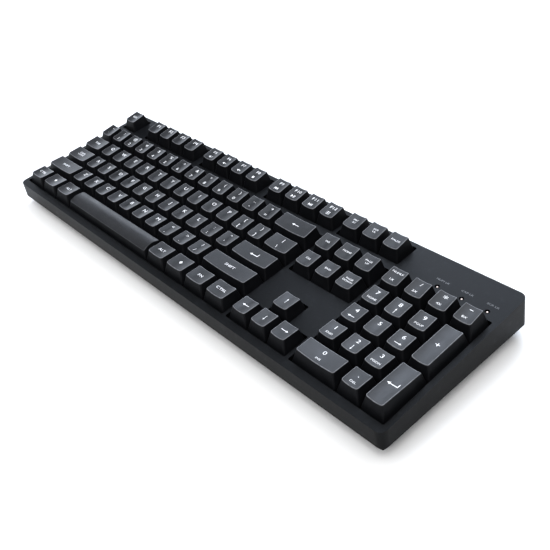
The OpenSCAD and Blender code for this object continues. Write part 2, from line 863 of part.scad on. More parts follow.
pad_enter_key();
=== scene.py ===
import json
import math

import bmesh
import bpy
from mathutils import Matrix, Vector


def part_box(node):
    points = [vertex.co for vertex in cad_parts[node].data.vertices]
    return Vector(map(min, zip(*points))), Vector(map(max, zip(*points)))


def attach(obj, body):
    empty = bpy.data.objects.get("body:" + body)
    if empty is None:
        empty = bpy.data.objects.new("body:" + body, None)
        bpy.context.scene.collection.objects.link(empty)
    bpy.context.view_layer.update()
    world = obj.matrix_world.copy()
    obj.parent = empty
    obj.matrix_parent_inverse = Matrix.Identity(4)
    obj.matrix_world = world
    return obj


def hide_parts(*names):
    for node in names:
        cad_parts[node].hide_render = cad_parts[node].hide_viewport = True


# Looks of a full-size mechanical keyboard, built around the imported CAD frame.
# The frame's axes: +X to the typist's right, +Y to the rear, +Z up. Blender works in metres,
# and the shapes of keys are worked out in millimetres on the switch plate, which slopes.

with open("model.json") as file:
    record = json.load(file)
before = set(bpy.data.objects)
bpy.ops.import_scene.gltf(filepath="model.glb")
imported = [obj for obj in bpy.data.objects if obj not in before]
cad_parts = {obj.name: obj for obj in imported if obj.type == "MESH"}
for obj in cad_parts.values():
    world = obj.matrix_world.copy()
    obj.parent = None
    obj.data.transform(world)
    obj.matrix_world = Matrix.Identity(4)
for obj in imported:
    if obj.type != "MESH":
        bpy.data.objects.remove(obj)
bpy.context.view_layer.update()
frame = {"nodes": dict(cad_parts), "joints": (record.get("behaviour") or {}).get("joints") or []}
NODES = frame["nodes"]
CASE = "case"

# ---------- the plate's own frame, read from the CAD ----------

PITCH = 19.05
FIELD_UNITS = 22.5
FUNCTION_GAP = 8.6
PLATE_THICKNESS = 1.5
PLATE_FRONT = -2.6
RIM_OVER_PLATE = 8.9
METRES_PER_MM = 0.001

press_axis = next(j["axis"] for j in frame["joints"] if j["name"] == "space_bar_press")
TILT = math.atan2(press_axis[1], -press_axis[2])
plate_low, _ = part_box("switch_plate")
plate_origin = Vector((
    -FIELD_UNITS * PITCH / 2 * METRES_PER_MM,
    plate_low.y - PLATE_FRONT * math.cos(TILT) * METRES_PER_MM,
    plate_low.z + (PLATE_THICKNESS * math.cos(TILT) - PLATE_FRONT * math.sin(TILT)) * METRES_PER_MM,
))
ON_PLATE = (
    Matrix.Translation(plate_origin)
    @ Matrix.Rotation(TILT, 4, "X")
    @ Matrix.Scale(METRES_PER_MM, 4)
)

# ---------- camera ----------

SENSOR_WIDTH = 36.0
FOCAL_LENGTH = 52.494545
CAMERA_PLACE = Vector((0.432275, -0.261812, 0.36262))
CAMERA_RIGHT = Vector((0.653617, 0.741705, -0.150528))
CAMERA_DOWN = Vector((0.331918, -0.459673, -0.823730))
CAMERA_FORWARD = Vector((-0.680158, 0.488442, -0.546635))
CAMERA_SHIFT = (0.0, -0.1195)


def make_camera():
    data = bpy.data.cameras.new("camera")
    data.sensor_width = SENSOR_WIDTH
    data.lens = FOCAL_LENGTH
    data.shift_x, data.shift_y = CAMERA_SHIFT
    data.clip_start = 0.01
    data.clip_end = 50
    camera = bpy.data.objects.new("camera", data)
    bpy.context.scene.collection.objects.link(camera)
    turn = Matrix((CAMERA_RIGHT, -CAMERA_DOWN, -CAMERA_FORWARD)).transposed()
    camera.matrix_world = Matrix.Translation(CAMERA_PLACE) @ turn.to_4x4()
    bpy.context.scene.camera = camera


make_camera()

# ---------- materials ----------


class Recipe:
    """A procedural material, with short names for the nodes that the recipes below share."""

    def __init__(self, name, colour, roughness, metallic=0.0, **sockets):
        self.material = bpy.data.materials.new(name)
        self.material.use_nodes = True
        self.tree = self.material.node_tree
        self.shader = self.tree.nodes["Principled BSDF"]
        self.shader.inputs["Base Color"].default_value = (*colour, 1)
        self.shader.inputs["Roughness"].default_value = roughness
        self.shader.inputs["Metallic"].default_value = metallic
        for socket, value in sockets.items():
            self.shader.inputs[socket.replace("_", " ")].default_value = value
        self.place = self.tree.nodes.new("ShaderNodeTexCoord").outputs["Object"]
        self.normal = None

    def link(self, start, end):
        self.tree.links.new(start, end)

    def noise(self, scale, detail=2.0, stretch=None):
        node = self.tree.nodes.new("ShaderNodeTexNoise")
        node.inputs["Scale"].default_value = scale
        node.inputs["Detail"].default_value = detail
        if stretch is None:
            self.link(self.place, node.inputs["Vector"])
        else:
            mapping = self.tree.nodes.new("ShaderNodeMapping")
            mapping.inputs["Scale"].default_value = stretch
            self.link(self.place, mapping.inputs["Vector"])
            self.link(mapping.outputs["Vector"], node.inputs["Vector"])
        return node.outputs["Fac"]

    def attribute(self, name):
        node = self.tree.nodes.new("ShaderNodeAttribute")
        node.attribute_name = name
        return node.outputs["Fac"]

    def ranged(self, value, low, high, to_low, to_high):
        node = self.tree.nodes.new("ShaderNodeMapRange")
        limits = {"From Min": low, "From Max": high, "To Min": to_low, "To Max": to_high}
        for socket, number in limits.items():
            node.inputs[socket].default_value = number
        self.link(value, node.inputs["Value"])
        return node.outputs["Result"]

    def maths(self, operation, first, second):
        node = self.tree.nodes.new("ShaderNodeMath")
        node.operation = operation
        for value, socket in zip((first, second), node.inputs):
            if isinstance(value, (int, float)):
                socket.default_value = value
            else:
                self.link(value, socket)
        return node.outputs["Value"]

    def mixed(self, share, first, second):
        node = self.tree.nodes.new("ShaderNodeMix")
        node.data_type = "RGBA"
        self.link(share, node.inputs["Factor"])
        for value, socket in zip((first, second), (node.inputs[6], node.inputs[7])):
            if isinstance(value, tuple):
                socket.default_value = (*value, 1)
            else:
                self.link(value, socket)
        return node.outputs[2]

    def bump(self, height, distance, strength=1.0):
        node = self.tree.nodes.new("ShaderNodeBump")
        node.inputs["Distance"].default_value = distance
        node.inputs["Strength"].default_value = strength
        self.link(height, node.inputs["Height"])
        if self.normal is not None:
            self.link(self.normal, node.inputs["Normal"])
        self.normal = node.outputs["Normal"]
        self.link(self.normal, self.shader.inputs["Normal"])

    def colour(self, value):
        self.link(value, self.shader.inputs["Base Color"])

    def roughness(self, value):
        self.link(value, self.shader.inputs["Roughness"])


def moulded_plastic(name, dark, light, rough, grain, grain_depth, **sockets):
    """Textured black moulding: spark-eroded grain, faint mottling and a few polished scuffs."""
    recipe = Recipe(name, dark, rough, **sockets)
    mottle = recipe.ranged(recipe.noise(700, 3), 0.3, 0.7, 0.0, 1.0)
    body = recipe.mixed(mottle, dark, light)
    scuffs = recipe.ranged(recipe.noise(170, 5), 0.60, 0.74, 0.0, 0.5)
    recipe.colour(recipe.mixed(scuffs, body, tuple(2.2 * c for c in light)))
    patches = recipe.ranged(recipe.noise(12, 2), 0.3, 0.7, rough - 0.015, rough + 0.015)
    recipe.roughness(recipe.maths("SUBTRACT", patches, recipe.maths("MULTIPLY", scuffs, 0.08)))
    recipe.bump(recipe.noise(grain, 3), grain_depth)
    return recipe.material


def keycap_plastic(name, colour, **sockets):
    """Keycap moulding with a painted highlight along the top edges, driven by the attribute edge, and finger
    polish driven by the attribute touch of the caps' meshes.
    """
    recipe = Recipe(name, colour, 0.42, **sockets)
    mottle = recipe.ranged(recipe.noise(140, 4), 0.35, 0.65, 0.0, 1.0)
    body = recipe.mixed(mottle, (0.0075, 0.008, 0.0095), (0.0105, 0.011, 0.0130))
    edge = recipe.attribute("edge")
    # Painted highlight: a light colour mixed in along the caps' top edges, broken up by noise; the same mask
    # lowers the roughness a little.
    edge_highlight = recipe.maths("MULTIPLY", edge, recipe.ranged(recipe.noise(420, 3), 0.35, 0.7, 0.55, 1.0))
    recipe.colour(recipe.mixed(edge_highlight, body, (0.20, 0.205, 0.22)))
    patches = recipe.ranged(recipe.noise(60, 3), 0.3, 0.7, 0.38, 0.46)
    polish = recipe.ranged(recipe.noise(200, 4), 0.4, 0.65, 0.0, 0.12)
    touched = recipe.maths("MULTIPLY", recipe.attribute("touch"), polish)
    smoothed = recipe.maths("ADD", touched, recipe.maths("MULTIPLY", edge_highlight, 0.1))
    recipe.roughness(recipe.maths("SUBTRACT", patches, smoothed))
    recipe.bump(recipe.noise(5200, 2), 0.00003)
    return recipe.material


def legend_ink():
    recipe = Recipe("legend_ink", (0.86, 0.87, 0.88), 0.5)
    fade = recipe.ranged(recipe.noise(900, 4), 0.35, 0.6, 0.0, 1.0)
    recipe.colour(recipe.mixed(fade, (0.72, 0.73, 0.75), (0.9, 0.9, 0.91)))
    recipe.roughness(recipe.ranged(recipe.noise(500, 2), 0.3, 0.7, 0.42, 0.6))
    recipe.bump(recipe.noise(7000, 2), 0.00001)
    return recipe.material


def label_ink():
    recipe = Recipe("label_ink", (0.16, 0.165, 0.175), 0.55)
    recipe.colour(recipe.mixed(recipe.noise(1500, 3), (0.12, 0.125, 0.135), (0.20, 0.205, 0.215)))
    recipe.bump(recipe.noise(7000, 2), 0.00001)
    return recipe.material


def slider_plastic():
    recipe = Recipe(
        "slider_plastic", (0.22, 0.012, 0.014), 0.38, Subsurface_Weight=0.1, Subsurface_Scale=0.001,
    )
    clouds = recipe.ranged(recipe.noise(300, 3), 0.3, 0.7, 0, 1)
    recipe.colour(recipe.mixed(clouds, (0.17, 0.008, 0.01), (0.27, 0.016, 0.018)))
    recipe.roughness(recipe.ranged(recipe.noise(180, 3), 0.3, 0.7, 0.3, 0.45))
    recipe.bump(recipe.noise(3000, 2), 0.00002)
    return recipe.material


def painted_plate():
    recipe = Recipe("plate_paint", (0.12, 0.012, 0.016), 0.45, Coat_Weight=0.2, Coat_Roughness=0.25)
    clouds = recipe.ranged(recipe.noise(120, 4), 0.3, 0.7, 0, 1)
    recipe.colour(recipe.mixed(clouds, (0.10, 0.010, 0.013), (0.14, 0.016, 0.02)))
    recipe.roughness(recipe.ranged(recipe.noise(70, 3), 0.3, 0.7, 0.36, 0.55))
    recipe.bump(recipe.noise(2200, 3), 0.00004)
    return recipe.material


def circuit_board_lacquer():
    recipe = Recipe("board_lacquer", (0.012, 0.07, 0.035), 0.35, Coat_Weight=0.5, Coat_Roughness=0.15)
    tracks = recipe.tree.nodes.new("ShaderNodeTexBrick")
    tracks.inputs["Scale"].default_value = 160
    tracks.inputs["Mortar Size"].default_value = 0.06
    tracks.inputs["Color1"].default_value = (0.0, 0.0, 0.0, 1)
    tracks.inputs["Color2"].default_value = (0.0, 0.0, 0.0, 1)
    tracks.inputs["Mortar"].default_value = (1.0, 1.0, 1.0, 1)
    recipe.link(recipe.place, tracks.inputs["Vector"])
    body = recipe.mixed(recipe.noise(200, 3), (0.009, 0.055, 0.028), (0.016, 0.08, 0.042))
    recipe.colour(recipe.mixed(tracks.outputs["Fac"], body, (0.03, 0.15, 0.07)))
    recipe.roughness(recipe.ranged(recipe.noise(100, 3), 0.3, 0.7, 0.28, 0.42))
    recipe.bump(tracks.outputs["Fac"], 0.00004)
    return recipe.material


def bright_metal(name, colour, rough, grain, stretch=(1, 1, 1)):
    recipe = Recipe(name, colour, rough, metallic=1.0)
    dark = tuple(c * 0.72 for c in colour)
    stains = recipe.ranged(recipe.noise(240, 4), 0.35, 0.7, 0.0, 1.0)
    recipe.colour(recipe.mixed(stains, colour, dark))
    recipe.roughness(recipe.ranged(recipe.noise(grain, 3, stretch), 0.3, 0.7, rough - 0.08, rough + 0.12))
    recipe.bump(recipe.noise(grain, 2, stretch), 0.00003)
    return recipe.material


def foot_rubber():
    recipe = Recipe("foot_rubber", (0.018, 0.018, 0.019), 0.8)
    dust = recipe.ranged(recipe.noise(320, 5), 0.5, 0.75, 0.0, 0.6)
    recipe.colour(recipe.mixed(dust, (0.016, 0.016, 0.017), (0.07, 0.068, 0.066)))
    recipe.roughness(recipe.ranged(recipe.noise(150, 3), 0.3, 0.7, 0.7, 0.9))
    recipe.bump(recipe.noise(1800, 3), 0.0001)
    return recipe.material


def lamp_lens():
    """Smoky lens, dark at its sides, with a painted highlight: a light colour on its upward-facing top."""
    recipe = Recipe("light_lens", (0.5, 0.43, 0.41), 0.3, Coat_Weight=0.4, Coat_Roughness=0.12)
    upright = recipe.tree.nodes.new("ShaderNodeSeparateXYZ")
    recipe.link(recipe.tree.nodes.new("ShaderNodeNewGeometry").outputs["Normal"], upright.inputs["Vector"])
    # Painted highlight: the upward-facing top of the lens takes a light colour, its sides a dark one.
    crown_highlight = recipe.ranged(upright.outputs["Z"], 0.62, 0.86, 0.0, 1.0)
    painted_highlight_colour = recipe.mixed(recipe.noise(700, 2), (0.84, 0.70, 0.66), (0.92, 0.84, 0.80))
    recipe.colour(recipe.mixed(crown_highlight, (0.03, 0.026, 0.025), painted_highlight_colour))
    recipe.roughness(recipe.ranged(recipe.noise(900, 2), 0.3, 0.7, 0.22, 0.38))
    recipe.bump(recipe.noise(2500, 2), 0.00002)
    return recipe.material


def chip_package():
    recipe = Recipe("chip_package", (0.012, 0.012, 0.013), 0.55)
    recipe.colour(recipe.mixed(recipe.noise(900, 3), (0.010, 0.010, 0.011), (0.02, 0.02, 0.021)))
    recipe.roughness(recipe.ranged(recipe.noise(600, 3), 0.3, 0.7, 0.5, 0.68))
    recipe.bump(recipe.noise(4000, 2), 0.00003)
    return recipe.material


def studio_floor():
    recipe = Recipe("studio_floor", (0.93, 0.93, 0.93), 0.7)
    recipe.colour(recipe.mixed(recipe.noise(3, 2), (0.925, 0.925, 0.925), (0.94, 0.94, 0.94)))
    return recipe.material


# The caps' sides and tops are one plastic: the sides are a shaded copy with a darker colour and lower
# specular level, painted shade, and the tops a lit copy, painted sheen.
SHADED_CAP_SKIRT = keycap_plastic("keycap_skirt_shaded", (0.012, 0.015, 0.017), Specular_IOR_Level=0.14)
LIT_CAP_FACE = keycap_plastic("keycap_face_lit", (0.018, 0.0195, 0.023), Specular_IOR_Level=0.43)
LEGEND = legend_ink()
LABEL = label_ink()
SLIDER = slider_plastic()
CASE_TOP = moulded_plastic(
    "case_plastic", (0.0030, 0.0034, 0.0042), (0.0044, 0.0049, 0.0058), 0.44, 3800, 0.00002,
    Specular_IOR_Level=0.13,
)
CASE_BASE = moulded_plastic(
    "base_plastic", (0.0045, 0.0047, 0.0052), (0.0068, 0.0070, 0.0076), 0.55, 3000, 0.00003,
    Specular_IOR_Level=0.2,
)
SWITCH = moulded_plastic("switch_plastic", (0.010, 0.010, 0.011), (0.016, 0.016, 0.018), 0.42, 5000, 0.00002)
PLATE = painted_plate()
BOARD = circuit_board_lacquer()
SPRING = bright_metal("spring_steel", (0.62, 0.62, 0.64), 0.28, 900)
SCREW = bright_metal("screw_steel", (0.46, 0.47, 0.50), 0.36, 1400)
SOCKET = bright_metal("socket_metal", (0.62, 0.63, 0.66), 0.3, 600, (1, 6, 1))
CHIP = chip_package()
LENS = lamp_lens()
RUBBER = foot_rubber()

# ---------- mesh helpers ----------


def object_from(bm, name, *materials, matrix=ON_PLATE, smooth=True):
    """Turns a bmesh in the given frame into a linked object at the origin, with its place in its mesh."""
    bm.transform(matrix)
    bmesh.ops.recalc_face_normals(bm, faces=bm.faces)
    mesh = bpy.data.meshes.new(name)
    bm.to_mesh(mesh)
    bm.free()
    for material in materials:
        mesh.materials.append(material)
    for polygon in mesh.polygons:
        polygon.use_smooth = smooth
    made = bpy.data.objects.new(name, mesh)
    bpy.context.scene.collection.objects.link(made)
    return made


def even_shading(obj):
    modifier = obj.modifiers.new("even_shading", "WEIGHTED_NORMAL")
    modifier.mode = "FACE_AREA"
    modifier.weight = 60
    modifier.keep_sharp = True


def ring_of(bm, points):
    return [bm.verts.new(p) for p in points]


def band(bm, lower, upper, slot=0):
    """Quads between two closed rings with the same number of points, in a material slot."""
    count = len(lower)
    for i in range(count):
        j = (i + 1) % count
        bm.faces.new((lower[i], lower[j], upper[j], upper[i])).material_index = slot


def fan(bm, ring, centre, slot=0):
    middle = bm.verts.new(centre)
    for i in range(len(ring)):
        bm.faces.new((ring[i], ring[(i + 1) % len(ring)], middle)).material_index = slot
    return middle


ARC_STEPS = 6
LEAST_CORNER_R = 0.05


def arc(centre_x, centre_y, radius, start):
    """Points of a quarter circle from the angle start, in degrees."""
    angles = [math.radians(start + 90 * i / ARC_STEPS) for i in range(ARC_STEPS + 1)]
    return [(centre_x + radius * math.cos(a), centre_y + radius * math.sin(a)) for a in angles]


def straight(start, end, steps):
    """The points between start and end, without either."""
    return [
        (start[0] + (end[0] - start[0]) * i / steps, start[1] + (end[1] - start[1]) * i / steps)
        for i in range(1, steps)
    ]


def rounded_outline(half_w, front, rear, front_r, rear_r, steps_x, steps_y):
    """Points round a rectangle with rounded corners, counter-clockwise from the front left."""
    front_r = max(front_r, LEAST_CORNER_R)
    rear_r = max(rear_r, LEAST_CORNER_R)
    corners = [
        arc(-half_w + front_r, front + front_r, front_r, 180),
        arc(half_w - front_r, front + front_r, front_r, 270),
        arc(half_w - rear_r, rear - rear_r, rear_r, 0),
        arc(-half_w + rear_r, rear - rear_r, rear_r, 90),
    ]
    points = []
    for i, corner in enumerate(corners):
        following = corners[(i + 1) % 4]
        points += corner + straight(corner[-1], following[0], steps_x if i % 2 == 0 else steps_y)
    return points


def bevelled_prism(bm, outline_at, low, high, bevel, centre):
    """A closed prism with bevelled ends; outline_at(inset) gives the outline's points."""
    rings = [
        [(x, y, low) for x, y in outline_at(bevel)],
        [(x, y, low + bevel) for x, y in outline_at(0)],
        [(x, y, high - bevel) for x, y in outline_at(0)],
        [(x, y, high) for x, y in outline_at(bevel)],
    ]
    made = [ring_of(bm, ring) for ring in rings]
    for lower, upper in zip(made, made[1:]):
        band(bm, lower, upper)
    fan(bm, made[0][::-1], (*centre, low))
    fan(bm, made[-1], (*centre, high))


def cross_outline(length, thickness, steps=3):
    """Points round a plus sign."""
    a, b = length / 2, thickness / 2
    corners = [
        (a, -b), (a, b), (b, b), (b, a), (-b, a), (-b, b),
        (-a, b), (-a, -b), (-b, -b), (-b, -a), (b, -a), (b, -b),
    ]
    points = []
    for i, corner in enumerate(corners):
        points += [corner] + straight(corner, corners[(i + 1) % len(corners)], steps)
    return points


def shifted(points, at, turned=False):
    """Points moved to the place at, and turned by a quarter first if asked."""
    return [((-y if turned else x) + at[0], (x if turned else y) + at[1]) for x, y in points]


# ---------- keys ----------

CAP_REST = 6.1
CAP_GAP = 0.85
CAP_TOP_DEPTH = 12.9
CAP_TAPER = 5.7
CAP_LEAN = 1.2
DISH_DEPTH = 0.8
CAP_WALL = 1.4
CAP_ROOF = 1.5
CROWN_R = 15.0
CROWN_REACH = 10.0
CROWNED_WIDTH = 6
WIDE = 2
CAP_HEIGHTS = (9.2, 9.1, 8.6, 9.1, 10.9, 10.7)
CAP_RISES = tuple(math.tan(math.radians(a)) for a in (-3.3, -3.3, 0, 2.5, 6.5, 6.5))
EDGE_ROUND = 0.3
FOOT_ROUND = 0.15
# Width of the fade and strength of the painted highlight along the caps' top edges.
EDGE_HIGHLIGHT_FADE = 0.15
UNDER_EDGE_HIGHLIGHT = 0.7
CROWNED_CAP_HIGHLIGHT = 0.2
INNER_CORNER_R = 0.8
# The skirt slot takes the shaded copy of the cap plastic, the face slot the lit copy.
SKIRT_SLOT = 0
FACE_SLOT = 1
FOOT_CORNER_R = 0.7
FRONT_CORNER_R = 1.4
REAR_CORNER_R = 0.8
WALL_STEPS = 5
ROUND_STEPS = 4
TOP_RINGS = (0.93, 0.8, 0.62, 0.42, 0.2)
MOUNT_R = 2.7
MOUNT_FOOT = 0.45
MOUNT_DEPTH = 4.3
MOUNT_BEVEL = 0.15
MOUNT_FOOT_SHARE = 0.95
MOUNT_INTO_ROOF = 0.6
MOUNT_CROSS = (4.1, 1.3)
STABILIZER_REACH = 11.94
LONG_STABILIZER_REACH = 50.0


class Cap:
    """The outer shape of one keycap, in millimetres from the middle of its foot."""

    def __init__(self, left, row, width, depth=1):
        self.left, self.row, self.width, self.depth = left, row, width, depth
        self.w = width * PITCH - CAP_GAP
        self.d = depth * PITCH - CAP_GAP
        self.h = CAP_HEIGHTS[row]
        self.rise = CAP_RISES[row]
        self.crowned = width > CROWNED_WIDTH
        self.steps_x = 40 if self.crowned else 8 if width < WIDE else 16
        self.steps_y = 4 if depth < WIDE and not self.crowned else 12
        self.top_w = self.w - CAP_TAPER
        self.top_d = self.d - (PITCH - CAP_GAP - CAP_TOP_DEPTH)
        self.drop = self.top_d / 2 * abs(self.rise)
        self.dish_r = (self.top_w ** 2 / 4 + DISH_DEPTH ** 2) / (2 * DISH_DEPTH)
        front = row * PITCH if row < 5 else 5 * PITCH + FUNCTION_GAP
        self.x = (left + width / 2) * PITCH
        self.y = front + depth * PITCH / 2

    @property
    def wide(self):
        return self.width >= WIDE or self.depth >= WIDE

    def top(self, x, y):
        """Height of the top face over the point x, y."""
        back = y - CAP_LEAN
        if self.crowned:
            return self.h - CROWN_R + math.sqrt(CROWN_R ** 2 - min(back ** 2, CROWN_REACH ** 2))
        sag = self.dish_r - math.sqrt(max(self.dish_r ** 2 - x ** 2, 0.0))
        return self.h + back * self.rise + sag

    def outline(self, z, inset=0.0):
        """The outline at the height z, moved inwards by inset."""
        peak = self.h + DISH_DEPTH
        sides = peak + self.drop
        share = z / peak
        half_top = self.top_d / 2
        half_w = self.w / 2 - (self.w - self.top_w) / 2 * z / sides
        front = -self.d / 2 + (CAP_LEAN - half_top + self.d / 2) * z / (peak - half_top * self.rise)
        rear = self.d / 2 - (self.d / 2 - CAP_LEAN - half_top) * z / (peak + half_top * self.rise)
        front_r = FOOT_CORNER_R + (FRONT_CORNER_R - FOOT_CORNER_R) * share
        rear_r = FOOT_CORNER_R + (REAR_CORNER_R - FOOT_CORNER_R) * share
        return rounded_outline(
            half_w - inset, front + inset, rear - inset, front_r - inset, rear_r - inset,
            self.steps_x, self.steps_y,
        )

    def edge_heights(self):
        """Height at which each outline point's wall meets the top face."""
        heights = [self.h] * len(self.outline(self.h))
        for _ in range(4):
            places = [self.outline(z)[i] for i, z in enumerate(heights)]
            heights = [self.top(x, y) for x, y in places]
        return heights

    def stabilizers(self):
        """Offsets of the outer mounts from the middle one, as points."""
        if not self.wide:
            return []
        reach = LONG_STABILIZER_REACH if self.crowned else STABILIZER_REACH
        return [(0, s * reach) if self.depth >= WIDE else (s * reach, 0) for s in (-1, 1)]


def cap_rings(cap):
    """Rings up the outside of a cap, over its rounded edge and in across its top face.

    Each is (points, painted edge highlight, finger polish, material slot of the band below it).
    """
    heights = cap.edge_heights()
    count = len(heights)
    cached = {}

    def outline_point(i, z, inset):
        key = (round(z, 3), round(inset, 3))
        if key not in cached:
            cached[key] = cap.outline(key[0], key[1])
        return cached[key][i]

    def ring(height_of, inset):
        made = []
        for i in range(count):
            z = height_of(i)
            made.append((*outline_point(i, z, inset), z))
        return made

    rings = [
        (ring(lambda i: 0.0, FOOT_ROUND), 0, 0, SKIRT_SLOT),
        (ring(lambda i: FOOT_ROUND, 0.0), 0, 0, SKIRT_SLOT),
    ]
    for step in range(1, WALL_STEPS + 1):
        share = step / WALL_STEPS
        wall = ring(lambda i: (heights[i] - EDGE_ROUND - EDGE_HIGHLIGHT_FADE) * share, 0.0)
        rings.append((wall, 0, 0, SKIRT_SLOT))
    # The painted edge highlight is weaker on the long crowned caps.
    edge_highlight_strength = CROWNED_CAP_HIGHLIGHT if cap.crowned else 1.0
    rings.append((ring(lambda i: heights[i] - EDGE_ROUND, 0.0), UNDER_EDGE_HIGHLIGHT * edge_highlight_strength, 0, SKIRT_SLOT))
    for step in range(1, ROUND_STEPS + 1):
        angle = math.pi / 2 * step / ROUND_STEPS
        inset = EDGE_ROUND * (1 - math.cos(angle))
        below = EDGE_ROUND * (1 - math.sin(angle))
        rim = []
        for i in range(count):
            x, y = outline_point(i, heights[i], inset)
            rim.append((x, y, cap.top(x, y) - below))
        rings.append((rim, edge_highlight_strength, 0, FACE_SLOT))
    rim = rings[-1][0]
    inner_edge = []
    for i in range(count):
        x, y = outline_point(i, heights[i], EDGE_ROUND + EDGE_HIGHLIGHT_FADE)
        inner_edge.append((x, y, cap.top(x, y)))
    rings.append((inner_edge, 0, 0, FACE_SLOT))
    for scale in TOP_RINGS:
        inner = []
        for x, y, _ in rim:
            px, py = x * scale, CAP_LEAN + (y - CAP_LEAN) * scale
            inner.append((px, py, cap.top(px, py)))
        rings.append((inner, 0, 1 - scale, FACE_SLOT))
    return rings


def hollow_rings(cap):
    """Rings of points round the foot's inner edge and up to the roof under the top face."""
    top_front = CAP_LEAN - cap.top_d / 2 + CAP_WALL
    top_rear = CAP_LEAN + cap.top_d / 2 - CAP_WALL
    roof = cap.h - CAP_ROOF
    rings = []
    for share, spread in ((0.0, FOOT_ROUND), (0.02, 0.0), (0.5, 0.0), (0.94, 0.0), (1.0, -0.6)):
        half_w = (cap.w / 2 - CAP_WALL) * (1 - share) + (cap.top_w / 2 - CAP_WALL) * share + spread
        front = (-cap.d / 2 + CAP_WALL) * (1 - share) + top_front * share - spread
        rear = (cap.d / 2 - CAP_WALL) * (1 - share) + top_rear * share + spread
        points = rounded_outline(
            half_w, front, rear, INNER_CORNER_R, INNER_CORNER_R, cap.steps_x, cap.steps_y,
        )
        rings.append([(x, y, share * (roof + (y - CAP_LEAN) * cap.rise)) for x, y in points])
    return rings


def add_mount(bm, cap, at):
    """A round post under the roof, with the cross-shaped socket that grips the slider."""
    cross = cross_outline(*MOUNT_CROSS)
    angles = [math.atan2(y, x) for x, y in cross]
    circle = [(MOUNT_R * math.cos(a), MOUNT_R * math.sin(a)) for a in angles]
    high = cap.h - CAP_ROOF + MOUNT_INTO_ROOF
    rings = [
        (circle, high), (circle, MOUNT_FOOT + MOUNT_BEVEL),
        ([(x * MOUNT_FOOT_SHARE, y * MOUNT_FOOT_SHARE) for x, y in circle], MOUNT_FOOT),
        (cross, MOUNT_FOOT), (cross, MOUNT_DEPTH),
    ]
    made = [ring_of(bm, [(x + at[0], y + at[1], z) for x, y in points]) for points, z in rings]
    for lower, upper in zip(made, made[1:]):
        band(bm, lower, upper)
    fan(bm, made[0], (*at, high))
    fan(bm, made[-1], (*at, MOUNT_DEPTH))


def add_cap(bm, cap):
    layers = bm.verts.layers.float
    edge, touch = [layers.get(name) or layers.new(name) for name in ("edge", "touch")]
    before = len(bm.verts)
    rings = []
    # The attribute edge carries the painted edge highlight, touch the finger polish.
    for points, edge_highlight_share, finger_wear, slot in cap_rings(cap):
        made = ring_of(bm, points)
        for vertex in made:
            vertex[edge] = edge_highlight_share
            vertex[touch] = finger_wear
        if rings:
            band(bm, rings[-1], made, slot)
        rings.append(made)
    fan(bm, rings[-1], (0, CAP_LEAN, cap.top(0, CAP_LEAN)), FACE_SLOT)[touch] = 1.0
    inner = [ring_of(bm, points) for points in hollow_rings(cap)]
    band(bm, inner[0], rings[0])
    for lower, upper in zip(inner, inner[1:]):
        band(bm, upper, lower)
    fan(bm, inner[-1], (0, CAP_LEAN, cap.h - CAP_ROOF))
    for at in [(0, 0)] + cap.stabilizers():
        add_mount(bm, cap, at)
    bm.verts.ensure_lookup_table()
    bmesh.ops.translate(bm, verts=bm.verts[before:], vec=(cap.x, cap.y, CAP_REST))


SLIDER_WIDTH = 7.0
STABILIZER_WIDTH = 4.0
SLIDER_DEPTH = 5.5
SLIDER_CORNER_R = 0.5
SLIDER_BEVEL = 0.2
SLIDER_LOW = 0.3
SLIDER_SHOULDER = 6.5
SLIDER_TIP = 10.1
STABILIZER_LOW = -0.2
STEM_LENGTH = 4.0
STEM_THICKNESS = 1.2
STEM_BEVEL = 0.15
STEM_INTO_SHOULDER = 0.3


def add_slider(bm, cap):
    """The switch slider under a cap, and the stabilizer sliders beside it."""
    turned = cap.depth >= WIDE
    stems = [((0, 0), SLIDER_WIDTH, SLIDER_LOW)]
    stems += [(at, STABILIZER_WIDTH, STABILIZER_LOW) for at in cap.stabilizers()]
    for at, width, low in stems:
        place = (cap.x + at[0], cap.y + at[1])
        turn = turned and at != (0, 0)

        def block(inset, width=width, place=place, turn=turn):
            half_d = SLIDER_DEPTH / 2 - inset
            corner_r = SLIDER_CORNER_R - inset
            outline = rounded_outline(width / 2 - inset, -half_d, half_d, corner_r, corner_r, 2, 2)
            return shifted(outline, place, turn)

        def cross(inset, place=place, turn=turn):
            outline = cross_outline(STEM_LENGTH - 2 * inset, STEM_THICKNESS - 2 * inset)
            return shifted(outline, place, turn)

        bevelled_prism(bm, block, low, SLIDER_SHOULDER, SLIDER_BEVEL, place)
        bevelled_prism(bm, cross, SLIDER_SHOULDER - STEM_INTO_SHOULDER, SLIDER_TIP, STEM_BEVEL, place)


# ---------- legends ----------


# Each legend is a list of marks: what it shows, its place to the right of and behind the middle of
# the cap's top, and its height.


def letter(text):
    return [(text, 0.0, 2.4, 3.1)]


def pair(front, rear):
    return [(rear, 0.0, 3.3, 2.8), (front, -0.9, -3.6, 2.8)]


def word(text, height=2.3):
    return [(text, 0.0, 0.2, height)]


def two_lines(first, second, height=1.4):
    return [(first, 0.0, 1.35, height), (second, 0.0, -0.95, height)]


def pad(digit, front="", height=1.5):
    return [(digit, 0.0, 2.6, 3.0)] + ([(front, 0.0, -3.3, height)] if front else [])


def pad_function(rear, front, height=2.6):
    return [(rear, 0.0, 3.4, height), (front, -0.6, -2.9, 1.7)]


def media(name, icon):
    return [(name, 0.0, 2.6, 2.6), (icon, -0.4, -3.3, 2.6)]


def keys_in_row(left, row, widths, legends):
    """Caps side by side from left, each with its legend."""
    caps = []
    for width, legend in zip(widths, legends):
        caps.append((Cap(left, row, width), legend))
        left += width
    return caps


def letters(left, row, text):
    return keys_in_row(left, row, [1] * len(text), [letter(t) for t in text])


